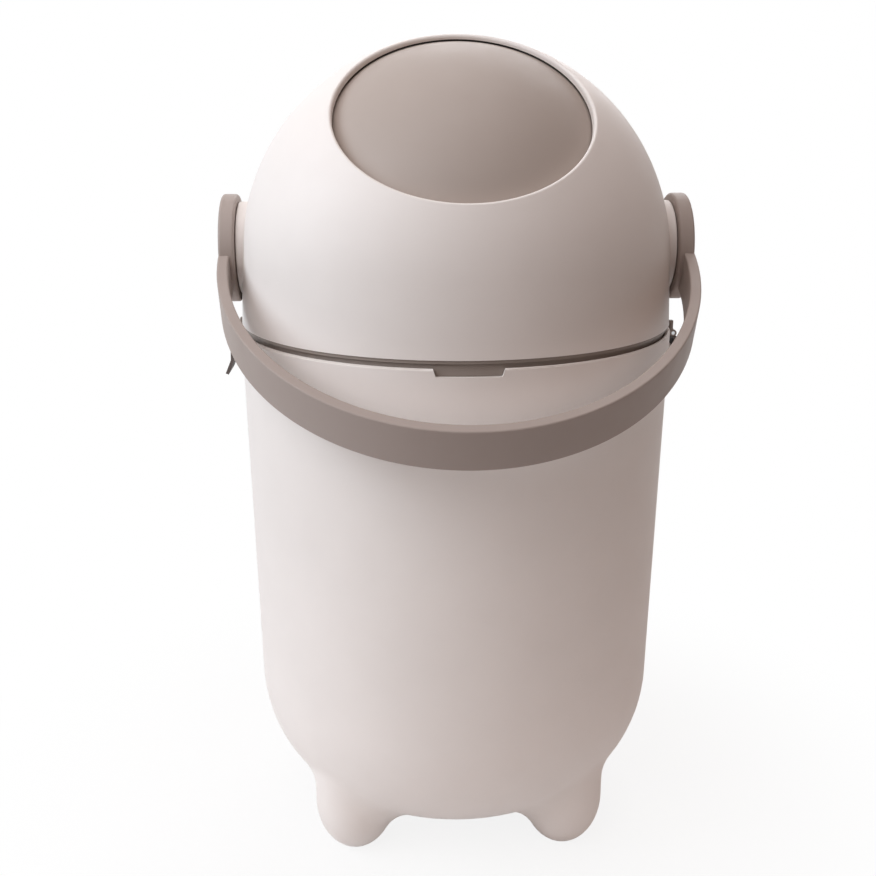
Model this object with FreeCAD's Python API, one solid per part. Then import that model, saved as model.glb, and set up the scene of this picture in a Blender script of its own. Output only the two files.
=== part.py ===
import FreeCAD
import Part

import math
import os

# Nappy bin with a dome lid and a flip-over drum. The handle turns the drum: at rest its closed
# side fills the window and the pocket's mouth faces down into the bag; with the handle flipped
# over to the back, the mouth faces the window.
# Frame: origin on the floor under the middle of the bin, +Z up, the front towards -Y. Millimetres.

V = FreeCAD.Vector
ORIGIN = V(0, 0, 0)
X_AXIS = V(1, 0, 0)
Y_AXIS = V(0, 1, 0)
Z_AXIS = V(0, 0, 1)

# Clearances and cutters
RUN_GAP = 0.3  # between pieces that move past each other
PIVOT_PLAY = 0.05  # round a shaft or pin in its bore
SEAT_PLAY = 0.1  # round a piece that drops into a seat
OVERRUN = 6.0  # how far a cutter runs past what it cuts

# Bin
RIM_HEIGHT = 364.5
RIM_RADIUS = 147.6
RIM_ROUND = 1.2
BIN_WALL = 3.0
BIN_DRAFT_DEG = 1.0
BELLY_HEIGHT = 24.0  # underside of the belly above the floor
BELLY_ACROSS = 76.0  # bend from the underside into the wall, a quarter of an ellipse
BELLY_UP = 88.0
NOTCH_WIDTH = 42.0  # finger notch in the front of the rim
NOTCH_DEPTH = 4.8
NOTCH_SLANT = 1.6  # how far each side of the notch leans in at its bottom
LEDGE_WIDTH = 4.0  # bag ring's ledge
LEDGE_THICK = 3.0

# Legs
LEG_INSET = 38.5  # middle of the leg in from the wall
LEG_RADIUS = 28.0
LEG_BULGE_HEIGHT = 36.0  # where the rounded foot is at its full radius
LEG_BLEND = 27.0
FOOT_FLAT_RADIUS = 8.4
LEG_TOP_SHARE = 0.72  # of the belly's bend, where the leg has sunk into the bin

# Dome lid
PIVOT_RISE = 52.5  # the drum's axis above the rim
DOME_DROP = 7.0  # dome's centre below the drum's axis
DOME_WALL = 2.8
HEM_STEP = 1.0  # dome's hem inside the rim's edge
SKIRT_FLARE_DEG = 2.6
SEAM_GAP = 4.9  # between the bin's rim and the dome's hem
WINDOW_TILT_DEG = 53.0  # window's axis above the horizontal, to the front
WINDOW_RADIUS = 79.0  # at the lip's inner end
WINDOW_FLARE_DEG = 4.0  # how far the lip's inside leans open
LIP_WALL = 5.0
LIP_ROUND = 1.4
COLLAR_RADIUS = 31.0
COLLAR_ROUND = 0.8

# Lid ring
RING_THICK = 2.2
RING_INSET = 1.0  # ring's edge inside the dome's hem
RING_SEAL_SPACE = 2.6  # between the drum and the ring's bore, taken by the wiper
SPIGOT_DEPTH = 15.0
SPIGOT_WALL = 3.2
SPIGOT_PLAY = 0.6  # between spigot and bin
GROOVE_DROP = 9.5  # gasket groove below the ring's plate
GROOVE_HEIGHT = 3.0
GROOVE_DEPTH = 1.4

# Ring screws and the bosses they go into
RING_SCREWS = 6
RING_SCREW_FIRST_DEG = 30.0
RING_SCREW_INSET = 7.6  # in from the inside of the dome's hem
RING_SCREW_RADIUS = 1.5
RING_SCREW_BITE = 11.8
RING_SCREW_HEAD_RADIUS = 3.1
RING_SCREW_HEAD_HEIGHT = 2.0
BOSS_RADIUS = 4.0
BOSS_HEIGHT = 20.0
BOSS_RIB = 3.0

# Seals
WINDOW_SEAL_THICK = 0.9
WINDOW_SEAL_INSET = 0.6  # seal's edge behind the lip's edge
WIPER_FLANGE = 3.2  # wiper's width over the ring
WIPER_FLANGE_THICK = 1.8
PIVOT_SEAL_RADIUS = 16.0
PIVOT_SEAL_THICK = 3.0

# Drum
BALL_ROOM = 1.6  # between ball and dome where they are closest
BALL_WALL = 3.0
PAD_INSET = 7.2  # flat on each side of the ball, in from its surface
PAD_THICK = 6.0
MOUTH_RADIUS = 74.0
CUP_WALL = 2.4
CUP_DEPTH = 160.0
CUP_END_RADIUS = 64.0
CUP_END_ROUND = 18.0
CUP_FLANGE_WIDTH = 10.0
CUP_FLANGE_THICK = 2.5

# Axles and bushes
AXLE_RADIUS = 11.0
AXLE_FLANGE_RADIUS = 28.0
AXLE_FLANGE_THICK = 4.0
DRIVE_WIDTH = 15.0  # across the flats of the square end
DRIVE_LENGTH = 5.0
BUSH_WALL = 2.5
BUSH_FLANGE_RADIUS = 17.5
BUSH_FLANGE_THICK = 2.7
AXLE_SCREW_CIRCLE = 21.5
AXLE_SCREWS = 4
AXLE_SCREW_RADIUS = 1.5
AXLE_SCREW_BITE = 5.0
AXLE_SCREW_HEAD_RADIUS = 3.0
AXLE_SCREW_HEAD_HEIGHT = 1.8

# Handle
HANDLE_REST_DEG = 24.0  # arms below the horizontal at rest
FINGER_ROOM = 59.8  # how far the band stands out past the bin, along the arms
HANDLE_STRAIGHT = 30.0  # straight start of each arm
BAND_WIDTH = 28.0
BAND_THICK = 7.0
BAND_ROUND = 1.0
HUB_RADIUS = 36.0
HUB_ROUND = 1.8
HUB_WEB = 2.0  # wall that the hub screw clamps
HUB_GAP = 0.5  # between hub and collar
CAP_RADIUS = 28.0
CAP_THICK = 1.8
HUB_SCREW_RADIUS = 2.0
HUB_SCREW_BITE = 12.0
HUB_SCREW_HEAD_RADIUS = 4.5
HUB_SCREW_HEAD_HEIGHT = 1.3

# Stop between hub and collar
PEG_CIRCLE = 24.5
PEG_RADIUS = 2.2
PEG_LENGTH = 2.4
PEG_PLAY = 0.4
PEG_TURN_DEG = 180.0  # peg's place from the arms

# Side clips
CLIP_WIDTH = 30.0
CLIP_THICK = 2.2
CLIP_REACH = 3.4  # hinge axis outside the rim
CLIP_DROP = 6.0  # hinge axis below the rim
CLIP_EYE_RADIUS = 2.4
CLIP_PIN_RADIUS = 1.2
CLIP_BARREL_WIDTH = 19.4
CLIP_EYE_WIDTH = 4.0
CLIP_NECK = 2.0  # thickness of the strap from ring to eye
CLIP_SHOULDER_OUT = 2.6  # the clip's bends, from the hinge axis
CLIP_SHOULDER_DROP = 5.5
CLIP_WAIST_OUT = 3.0
CLIP_WAIST_DROP = 16.5
CLIP_TIP_OUT = 7.0
CLIP_TIP_DROP = 26.0
CLIP_NOSE_RISE = 4.2  # top of the clip's nose above its waist
CATCH_OUT = 3.0  # bin's catch, out from the wall
CATCH_HEIGHT = 4.0
CATCH_WIDTH = 22.0

# Bag ring
BAG_RING_HEIGHT = 14.0
BAG_RING_WALL = 3.0
BAG_RING_LIP = 11.0

# Places worked out from the sizes
SEAM_HEIGHT = RIM_HEIGHT + SEAM_GAP
RING_UNDERSIDE = SEAM_HEIGHT - RING_THICK
SPIGOT_END = RING_UNDERSIDE - SPIGOT_DEPTH
LEDGE_HEIGHT = SPIGOT_END - RUN_GAP - BAG_RING_HEIGHT
WALL_FOOT = BELLY_HEIGHT + BELLY_UP
PIVOT_HEIGHT = RIM_HEIGHT + PIVOT_RISE
PIVOT = V(0, 0, PIVOT_HEIGHT)
DOME_CENTRE = PIVOT_HEIGHT - DOME_DROP
DOME_MIDDLE = V(0, 0, DOME_CENTRE)
FLARE = math.radians(SKIRT_FLARE_DEG)
HEM_RADIUS = RIM_RADIUS - HEM_STEP
DOME_RADIUS = (HEM_RADIUS - (DOME_CENTRE - SEAM_HEIGHT) * math.tan(FLARE)) * math.cos(FLARE)
RING_SCREW_CIRCLE = HEM_RADIUS - DOME_WALL - RING_SCREW_INSET
BALL_RADIUS = DOME_RADIUS - DOME_DROP - DOME_WALL - BALL_ROOM
LIP_END_RADIUS = BALL_RADIUS + RUN_GAP + WINDOW_SEAL_THICK
FLIP_DEG = 90 + WINDOW_TILT_DEG

# Places along the drum's axis, from the middle of the bin outwards
PAD_FACE = BALL_RADIUS - PAD_INSET
AXLE_FLANGE_FACE = PAD_FACE + AXLE_FLANGE_THICK
PIVOT_SEAL_FACE = AXLE_FLANGE_FACE + PIVOT_SEAL_THICK
COLLAR_BACK = PIVOT_SEAL_FACE + RUN_GAP + BUSH_FLANGE_THICK
COLLAR_FACE = HEM_RADIUS - (PIVOT_HEIGHT - HUB_RADIUS - SEAM_HEIGHT) * math.tan(FLARE)
HUB_BACK = COLLAR_FACE + HUB_GAP
DRIVE_END = HUB_BACK + DRIVE_LENGTH
WEB_FACE = DRIVE_END + SEAT_PLAY + HUB_WEB
CAP_BACK = WEB_FACE + HUB_SCREW_HEAD_HEIGHT
HUB_FACE = CAP_BACK + CAP_THICK
BUSH_RADIUS = AXLE_RADIUS + PIVOT_PLAY + BUSH_WALL
HANDLE_REACH = RIM_RADIUS + FINGER_ROOM + BAND_THICK

# Side clip's hinge and nose on the right side
CLIP_AXIS = V(RIM_RADIUS + CLIP_REACH, 0, RIM_HEIGHT - CLIP_DROP)
CLIP_WAIST = CLIP_AXIS + V(CLIP_WAIST_OUT, 0, -CLIP_WAIST_DROP)
NOSE_TOP = CLIP_WAIST.z + CLIP_NOSE_RISE
CATCH_LOW = NOSE_TOP + RUN_GAP


def line(start, end):
    return Part.LineSegment(start, end).toShape()


def loop(points):
    """Edges of the closed polygon through the points."""
    return [line(a, b) for a, b in zip(points, points[1:] + points[:1])]


def face(edges):
    return Part.Face(Part.Wire(edges))


def rz(radius, height):
    """Point of a half section beside the vertical axis."""
    return V(radius, 0, height)


def turned(edges):
    """Solid turned about the bin's axis from a closed half section."""
    return face(edges).revolve(ORIGIN, Z_AXIS, 360)


def ring(inner, outer, low, high):
    """Ring about the bin's axis with a rectangular section."""
    return turned(loop([rz(inner, low), rz(outer, low), rz(outer, high), rz(inner, high)]))


def rod(radius, start, end):
    """Cylinder from one point to another."""
    return Part.makeCylinder(radius, (end - start).Length, start, end - start)


def cross_rod(radius, start, end, centre=PIVOT):
    """Cylinder along X between two distances from the middle."""
    return rod(radius, centre + X_AXIS * start, centre + X_AXIS * end)


def block(low, high):
    size = high - low
    return Part.makeBox(size.x, size.y, size.z, low)


def ball(radius, centre=PIVOT, pole=-X_AXIS):
    """Ball with its poles across the bin, on the drum's axis, or along another direction."""
    return Part.makeSphere(radius, centre, pole)


def mirrored(shape):
    """The same piece on the other side of the bin."""
    return shape.mirror(ORIGIN, X_AXIS)


def forward(angle_deg, distance=1):
    """Step from the drum's axis, at an angle above the horizontal towards the front."""
    angle = math.radians(angle_deg)
    return V(0, -distance * math.cos(angle), distance * math.sin(angle))


def ellipse_arc(centre, across, along, start, end):
    """Arc of the ellipse with two half axes, between angles counted from across towards along."""
    if along.Length > across.Length:
        ellipse = Part.Ellipse(centre - along, centre + across, centre)
        turn = math.pi / 2
    else:
        ellipse = Part.Ellipse(centre + across, centre + along, centre)
        turn = 0
    return Part.ArcOfEllipse(ellipse, start + turn, end + turn).toShape()


def round_edges(shape):
    """Edges that are circles or parts of circles."""
    return [e for e in shape.Edges if not e.Degenerated and isinstance(e.Curve, Part.Circle)]


def circles_at(shape, height):
    """Round edges of a turned piece that lie at a height."""
    return [e for e in round_edges(shape) if math.isclose(e.BoundBox.ZMin, height, abs_tol=PIVOT_PLAY)
            and math.isclose(e.BoundBox.ZMax, height, abs_tol=PIVOT_PLAY)]


def wall_radius(height):
    """Outer radius of the bin's drafted wall."""
    return RIM_RADIUS - (RIM_HEIGHT - height) * math.tan(math.radians(BIN_DRAFT_DEG))


def bore_radius(height):
    """Inner radius of the bin's wall."""
    return wall_radius(height) - BIN_WALL / math.cos(math.radians(BIN_DRAFT_DEG))


def bin_body(inset, top):
    """Flat underside, elliptic belly and drafted wall, all set in by the same amount."""
    draft = math.radians(BIN_DRAFT_DEG)
    across, up = BELLY_ACROSS - inset, BELLY_UP - inset
    end = -math.atan(BELLY_UP / BELLY_ACROSS * math.tan(draft))
    end_height = BELLY_HEIGHT + BELLY_UP * (1 + math.sin(end))
    centre = rz(wall_radius(end_height) - BELLY_ACROSS * math.cos(end), BELLY_HEIGHT + BELLY_UP)
    low = centre - rz(0, up)
    high = centre + rz(across * math.cos(end), up * math.sin(end))
    foot = rz(0, low.z)
    rim = rz(wall_radius(top) - inset / math.cos(draft), top)
    crown = rz(0, top)
    bend = ellipse_arc(centre, rz(across, 0), rz(0, up), -math.pi / 2, end)
    return turned([line(foot, low), bend, line(high, rim), line(rim, crown), line(crown, foot)])


def leg(inset):
    """Rounded foot with a flat sole that runs straight up into the belly, set in by an amount."""
    slimness = math.sqrt(1 - (FOOT_FLAT_RADIUS / LEG_RADIUS) ** 2)
    drop = LEG_BULGE_HEIGHT / slimness - inset
    radius = LEG_RADIUS - inset
    sole_angle = -math.asin((LEG_BULGE_HEIGHT - inset) / drop)
    top_height = BELLY_HEIGHT + LEG_TOP_SHARE * BELLY_UP
    sole = rz(radius * math.cos(sole_angle), inset)
    bulge = rz(radius, LEG_BULGE_HEIGHT)
    top = rz(radius, top_height)
    foot = ellipse_arc(rz(0, LEG_BULGE_HEIGHT), rz(radius, 0), rz(0, drop), sole_angle, 0)
    crown = rz(0, top_height)
    start = rz(0, inset)
    return turned([line(start, sole), foot, line(bulge, top), line(top, crown), line(crown, start)])


def legs(inset):
    """Four legs on the bin's diagonals."""
    spread = (wall_radius(WALL_FOOT) - LEG_INSET) / math.sqrt(2)
    places = [V(x, y, 0) for x in (-spread, spread) for y in (-spread, spread)]
    return [leg(inset).translated(place) for place in places]


def rim_notch():
    """Cutter for the finger notch: a wedge through the front of the rim."""
    half = NOTCH_WIDTH / 2
    foot = half - NOTCH_SLANT
    rise = OVERRUN * NOTCH_SLANT / NOTCH_DEPTH
    low = RIM_HEIGHT - NOTCH_DEPTH
    high = RIM_HEIGHT + OVERRUN
    front = -RIM_RADIUS - OVERRUN
    corners = [V(-foot, front, low), V(foot, front, low), V(half + rise, front, high)]
    outline = face(loop(corners + [V(-half - rise, front, high)]))
    return outline.extrude(Y_AXIS * (BIN_WALL + SPIGOT_WALL + OVERRUN + OVERRUN))


def ledge():
    """Sloped ledge round the inside of the bin, under the bag ring, rooted in the wall."""
    edge = bore_radius(LEDGE_HEIGHT) - LEDGE_WIDTH
    run = LEDGE_WIDTH + BIN_WALL / 2
    shelf = LEDGE_HEIGHT - LEDGE_THICK
    return turned(loop([rz(edge + run, LEDGE_HEIGHT), rz(edge, LEDGE_HEIGHT), rz(edge, shelf),
                        rz(edge + run, shelf - run)]))


def catch_face():
    """Outer face of the bin's catch, from the middle of the bin."""
    return wall_radius(CATCH_LOW) + CATCH_OUT


def catch():
    """Small block on the right side of the bin, just inside the clip's nose."""
    root = V(bore_radius(CATCH_LOW) + BIN_WALL / 2, -CATCH_WIDTH / 2, CATCH_LOW)
    return block(root, V(catch_face(), CATCH_WIDTH / 2, CATCH_LOW + CATCH_HEIGHT))


def bin_shell():
    """Drafted wall of the bin with its rim, bag ledge, catches and finger notch."""
    points = [rz(bore_radius(WALL_FOOT), WALL_FOOT), rz(wall_radius(WALL_FOOT), WALL_FOOT)]
    points += [rz(wall_radius(RIM_HEIGHT), RIM_HEIGHT), rz(bore_radius(RIM_HEIGHT), RIM_HEIGHT)]
    shell = turned(loop(points))
    shell = shell.makeFillet(RIM_ROUND, circles_at(shell, RIM_HEIGHT))
    shell = shell.fuse([ledge(), catch(), mirrored(catch())])
    return shell.cut(rim_notch())


def leg_base():
    """Belly and four hollow legs in one moulding, welded under the wall."""
    outer = bin_body(0, WALL_FOOT).fuse(legs(0))
    seams = [e for e in outer.Edges if isinstance(e.Curve, Part.BSplineCurve)]
    outer = outer.makeFillet(LEG_BLEND, seams)
    return outer.cut([bin_body(BIN_WALL, WALL_FOOT + OVERRUN)] + legs(BIN_WALL))


def bag_ring():
    """Angle ring on the ledge; the bag's edge folds over its lip and the spigot holds it down."""
    low = LEDGE_HEIGHT
    high = low + BAG_RING_HEIGHT
    outer = bore_radius(low) - RUN_GAP
    inner = outer - BAG_RING_LIP
    wall = outer - BAG_RING_WALL
    step = high - BAG_RING_WALL
    points = [rz(wall, low), rz(outer, low), rz(outer, high), rz(inner, high)]
    return turned(loop(points + [rz(inner, step), rz(wall, step)]))


def skirt_radius(height, inset):
    """Radius of the dome's flared skirt at a height."""
    radius = DOME_RADIUS - inset
    shoulder = DOME_CENTRE + radius * math.sin(FLARE)
    return radius * math.cos(FLARE) + (shoulder - height) * math.tan(FLARE)


def window_depth():
    """Height of the lip's inner end on the window's axis, from the dome's middle."""
    drop = DOME_DROP * math.sin(math.radians(WINDOW_TILT_DEG))
    return math.sqrt(LIP_END_RADIUS ** 2 - WINDOW_RADIUS ** 2) + drop


def window_start():
    """Where the window's cutters start on its axis, below the drum's surface."""
    return window_depth() - 3 * LIP_WALL


def window_tube(radius):
    """Upright cylinder on the window's axis, from inside the drum out past the dome."""
    return rod(radius, Z_AXIS * window_start(), Z_AXIS * (DOME_RADIUS + OVERRUN))


def leaned(shape):
    """What was made upright round the window's axis, leaned to the front and put on the dome's middle."""
    shape.rotate(ORIGIN, X_AXIS, 90 - WINDOW_TILT_DEG)
    return shape.translated(DOME_MIDDLE)


def window_opening():
    """Upright cone that cuts the window: its set radius beside the drum, wider towards the outside."""
    spread = math.tan(math.radians(WINDOW_FLARE_DEG))
    start = window_start()
    end = DOME_RADIUS + OVERRUN
    narrow = WINDOW_RADIUS + (start - window_depth()) * spread
    wide = WINDOW_RADIUS + (end - window_depth()) * spread
    return Part.makeCone(narrow, wide, end - start, Z_AXIS * start)


def window_crown():
    """Upright ball of the dome with the window cut in it and its edge rounded."""
    body = ball(DOME_RADIUS, ORIGIN, Z_AXIS).cut(window_opening())
    flat = [e for e in round_edges(body) if e.BoundBox.ZLength < PIVOT_PLAY]
    rims = [e for e in flat if math.isclose(e.Vertexes[0].Point.Length, DOME_RADIUS, abs_tol=PIVOT_PLAY)]
    return body.makeFillet(LIP_ROUND, rims)


def window_lip():
    """Thick edge round the window, down to just above the drum."""
    lip = window_crown().common(window_tube(WINDOW_RADIUS + LIP_WALL))
    return leaned(lip).cut(ball(LIP_END_RADIUS))


def dome_body(crown, inset, hem):
    """Crown cut off at its shoulder, and the skirt that flares from there down to the hem."""
    shoulder = DOME_CENTRE + (DOME_RADIUS - inset) * math.sin(FLARE)
    room = DOME_RADIUS + OVERRUN
    crown = crown.common(block(V(-room, -room, shoulder), V(room, room, DOME_CENTRE + room)))
    wide = skirt_radius(hem, inset)
    narrow = skirt_radius(shoulder, inset)
    return crown.fuse(Part.makeCone(wide, narrow, shoulder - hem, V(0, 0, hem)))


def collar():
    """Round pivot collar on the right side of the dome."""
    disc = cross_rod(COLLAR_RADIUS, COLLAR_BACK, COLLAR_FACE)
    rims = [e for e in disc.Edges if e.BoundBox.XMin > COLLAR_FACE - PIVOT_PLAY]
    return disc.makeFillet(COLLAR_ROUND, rims)


def stop_slot():
    """Curved slot in the collar's face in which the hub's peg runs from stop to stop."""
    start_deg = PEG_TURN_DEG - HANDLE_REST_DEG
    half = PEG_RADIUS + PEG_PLAY
    floor = HUB_BACK - PEG_LENGTH - PEG_PLAY
    end = COLLAR_FACE + OVERRUN
    inner = forward(start_deg, PEG_CIRCLE - half)
    outer = forward(start_deg, PEG_CIRCLE + half)
    corners = [inner + X_AXIS * floor, outer + X_AXIS * floor, outer + X_AXIS * end, inner + X_AXIS * end]
    slot = face(loop(corners)).revolve(ORIGIN, -X_AXIS, FLIP_DEG).translated(PIVOT)
    ends = [cross_rod(half, floor, end, PIVOT + forward(a, PEG_CIRCLE))
            for a in (start_deg, start_deg + FLIP_DEG)]
    return slot.fuse(ends)


def ring_screw_places():
    angles = [math.radians(RING_SCREW_FIRST_DEG + 360 * i / RING_SCREWS) for i in range(RING_SCREWS)]
    return [V(RING_SCREW_CIRCLE * math.cos(a), RING_SCREW_CIRCLE * math.sin(a), 0) for a in angles]


def ring_boss(place):
    """Screw boss inside the dome with a rib out to the skirt."""
    foot = place + Z_AXIS * SEAM_HEIGHT
    post = rod(BOSS_RADIUS, foot, foot + Z_AXIS * BOSS_HEIGHT)
    out = HEM_RADIUS - RING_SCREW_CIRCLE
    rib = block(V(0, -BOSS_RIB / 2, SEAM_HEIGHT), V(out, BOSS_RIB / 2, SEAM_HEIGHT + BOSS_HEIGHT))
    turn = math.degrees(math.atan2(place.y, place.x))
    rib.rotate(ORIGIN, Z_AXIS, turn)
    return post.fuse(rib.translated(place))


def lid_dome():
    """Dome with its window lip just above the drum, pivot collars and screw bosses."""
    hollow_crown = ball(DOME_RADIUS - DOME_WALL, ORIGIN, Z_AXIS)
    outside = dome_body(leaned(window_crown()), 0, SEAM_HEIGHT)
    hollow = dome_body(leaned(hollow_crown), DOME_WALL, SEAM_HEIGHT - OVERRUN)
    bosses = [ring_boss(place) for place in ring_screw_places()]
    shell = outside.cut(hollow.cut(bosses)).fuse(window_lip())
    shell = shell.fuse([collar(), mirrored(collar())])
    bore = cross_rod(BUSH_RADIUS + PIVOT_PLAY, COLLAR_BACK - OVERRUN, COLLAR_FACE + OVERRUN)
    cutters = [bore, mirrored(bore), stop_slot(), mirrored(stop_slot())]
    for place in ring_screw_places():
        foot = place + Z_AXIS * SEAM_HEIGHT
        cutters.append(rod(RING_SCREW_RADIUS + PIVOT_PLAY, foot - Z_AXIS * OVERRUN,
                           foot + Z_AXIS * (RING_SCREW_BITE + SEAT_PLAY)))
    return shell.cut(cutters)


def spigot_radius():
    """Outside of the ring's spigot, which drops into the bin's mouth."""
    return bore_radius(SPIGOT_END) - SPIGOT_PLAY


def ring_bore():
    """Bore of the ring round the drum, with room for the wiper."""
    below = PIVOT_HEIGHT - SEAM_HEIGHT
    return math.sqrt(BALL_RADIUS ** 2 - below ** 2) + RING_SEAL_SPACE


def clip_eyes():
    """Two hinge eyes that hang outside the rim from the ring's right edge."""
    top = RING_UNDERSIDE
    outside = CLIP_AXIS.x - CLIP_EYE_RADIUS + CLIP_NECK
    half = CLIP_BARREL_WIDTH / 2 + RUN_GAP
    eyes = []
    for side in (-1, 1):
        near, far = sorted([side * half, side * (half + CLIP_EYE_WIDTH)])
        eye = rod(CLIP_EYE_RADIUS, CLIP_AXIS + Y_AXIS * near, CLIP_AXIS + Y_AXIS * far)
        neck = block(CLIP_AXIS + V(-CLIP_EYE_RADIUS, near, 0), V(outside, far, top))
        arm = block(V(spigot_radius() - SPIGOT_WALL, near, top - CLIP_NECK), V(outside, far, top))
        eyes.append(eye.fuse([neck, arm]))
    return eyes


def lid_ring():
    """Ring under the dome: plate, spigot into the bin, gasket groove and hinge eyes."""
    outer = spigot_radius()
    inner = outer - SPIGOT_WALL
    edge = HEM_RADIUS - RING_INSET
    plate = ring(ring_bore(), edge, RING_UNDERSIDE, SEAM_HEIGHT)
    spigot = ring(inner, outer, SPIGOT_END, RING_UNDERSIDE)
    groove_top = RING_UNDERSIDE - GROOVE_DROP
    groove = ring(outer - GROOVE_DEPTH, outer + OVERRUN, groove_top - GROOVE_HEIGHT, groove_top)
    body = plate.fuse([spigot.cut(groove)] + clip_eyes() + [mirrored(e) for e in clip_eyes()])
    cutters = [rod(RING_SCREW_RADIUS + PIVOT_PLAY, place + Z_AXIS * (RING_UNDERSIDE - OVERRUN),
                   place + Z_AXIS * (SEAM_HEIGHT + OVERRUN)) for place in ring_screw_places()]
    reach = Y_AXIS * CLIP_WIDTH
    hole = rod(CLIP_PIN_RADIUS, CLIP_AXIS - reach, CLIP_AXIS + reach)
    return body.cut(cutters + [hole, mirrored(hole)])


def rim_gasket():
    """Soft ring in the spigot's groove that closes the gap to the bin."""
    top = RING_UNDERSIDE - GROOVE_DROP
    inner = spigot_radius() - GROOVE_DEPTH
    outer = bore_radius(top - GROOVE_HEIGHT) - RUN_GAP
    return ring(inner, outer, top - GROOVE_HEIGHT, top)


def window_seal():
    """Soft ring under the window's lip, shaped to the drum."""
    tube = window_tube(WINDOW_RADIUS + LIP_WALL).cut(window_tube(WINDOW_RADIUS + WINDOW_SEAL_INSET))
    tube = leaned(tube)
    return tube.common(ball(LIP_END_RADIUS)).cut(ball(BALL_RADIUS + RUN_GAP))


def drum_wiper():
    """Soft ring in the bore of the lid ring, shaped to the drum."""
    start = ring_bore() - RING_SEAL_SPACE - OVERRUN
    body = ring(start, ring_bore(), RING_UNDERSIDE, SEAM_HEIGHT)
    flange = ring(start, ring_bore() + WIPER_FLANGE, SEAM_HEIGHT, SEAM_HEIGHT + WIPER_FLANGE_THICK)
    return body.fuse(flange).cut(ball(BALL_RADIUS + RUN_GAP))


def screw(tip, seat, radius, head_radius, head_height):
    """Screw with a flat head that sits on its seat."""
    out = seat - tip
    out.normalize()
    return rod(radius, tip, seat).fuse(rod(head_radius, seat, seat + out * head_height))


def ring_screws():
    """Screws up through the ring into the dome's bosses."""
    screws = []
    for place in ring_screw_places():
        seat = place + Z_AXIS * RING_UNDERSIDE
        tip = seat + Z_AXIS * (RING_THICK + RING_SCREW_BITE)
        screws.append(screw(tip, seat, RING_SCREW_RADIUS,
                            RING_SCREW_HEAD_RADIUS, RING_SCREW_HEAD_HEIGHT))
    return Part.makeCompound(screws)


def pivot_bush():
    """Flanged plain bush in the right collar."""
    sleeve = cross_rod(BUSH_RADIUS, COLLAR_BACK, COLLAR_FACE)
    flange = cross_rod(BUSH_FLANGE_RADIUS, COLLAR_BACK - BUSH_FLANGE_THICK, COLLAR_BACK)
    bore = cross_rod(AXLE_RADIUS + PIVOT_PLAY, COLLAR_BACK - OVERRUN, COLLAR_FACE + OVERRUN)
    return sleeve.fuse(flange).cut(bore)


def pivot_seal():
    """Felt washer on the right axle, against its flange."""
    washer = cross_rod(PIVOT_SEAL_RADIUS, AXLE_FLANGE_FACE, PIVOT_SEAL_FACE)
    return washer.cut(cross_rod(AXLE_RADIUS, AXLE_FLANGE_FACE - OVERRUN, PIVOT_SEAL_FACE + OVERRUN))


def axle_screw_places():
    """Places of the flange screws round the drum's axis, clear of the drum's parting line."""
    step = 360 / AXLE_SCREWS
    return [PIVOT + forward(step / 2 + step * i, AXLE_SCREW_CIRCLE) for i in range(AXLE_SCREWS)]


def axle_screw_holes():
    holes = []
    for place in axle_screw_places():
        tip = PAD_FACE - AXLE_SCREW_BITE
        holes.append(cross_rod(AXLE_SCREW_RADIUS + PIVOT_PLAY, tip, AXLE_FLANGE_FACE + OVERRUN, place))
    return holes


def ball_slab(half_width):
    """The part of the space round the ball that lies within a distance of its middle, across the bin."""
    room = BALL_RADIUS + OVERRUN
    return block(PIVOT - V(half_width, room, room), PIVOT + V(half_width, room, room))


def ball_shell():
    """Whole ball with a flat, thickened pad on each side for the axle flanges."""
    outside = ball(BALL_RADIUS).common(ball_slab(PAD_FACE))
    hollow = ball(BALL_RADIUS - BALL_WALL).common(ball_slab(PAD_FACE - PAD_THICK))
    holes = axle_screw_holes()
    return outside.cut([hollow] + holes + [mirrored(h) for h in holes])


def half_space(side):
    """Block over the upper (1) or lower (-1) half of the ball."""
    room = BALL_RADIUS + OVERRUN
    low, high = sorted([0, side * room])
    return block(PIVOT + V(-room, -room, low), PIVOT + V(room, room, high))


def drum_cover():
    """Upper half of the ball, the closed face behind the window."""
    return ball_shell().common(half_space(1))


def drum_base():
    """Lower half of the ball, with the mouth of the pocket at its bottom."""
    mouth = rod(MOUTH_RADIUS, PIVOT, PIVOT - Z_AXIS * (BALL_RADIUS + OVERRUN))
    return ball_shell().common(half_space(-1)).cut(mouth)


def cup_body(inset, mouth_height, end_height):
    """Tapered round pocket, closed at its upper end, all set in by the same amount."""
    mouth = MOUTH_RADIUS - SEAT_PLAY - inset
    end = CUP_END_RADIUS - inset
    points = [rz(0, mouth_height), rz(mouth, mouth_height), rz(end, end_height), rz(0, end_height)]
    body = turned(loop(points))
    return body.makeFillet(CUP_END_ROUND - inset, circles_at(body, end_height))


def drum_cup():
    """Pocket in the drum, with a flange against the inside of the ball round the mouth."""
    mouth_height = PIVOT_HEIGHT - math.sqrt(BALL_RADIUS ** 2 - MOUTH_RADIUS ** 2)
    end_height = mouth_height + CUP_DEPTH
    outside = cup_body(0, mouth_height, end_height)
    inside = cup_body(CUP_WALL, mouth_height - OVERRUN, end_height - CUP_WALL)
    seat = BALL_RADIUS - BALL_WALL
    reach = PIVOT - Z_AXIS * (BALL_RADIUS + OVERRUN)
    flange = rod(MOUTH_RADIUS + CUP_FLANGE_WIDTH, PIVOT, reach).common(ball(seat))
    flange = flange.cut([ball(seat - CUP_FLANGE_THICK), rod(MOUTH_RADIUS - CUP_WALL, PIVOT, reach)])
    return outside.fuse(flange).cut(inside)


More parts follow.
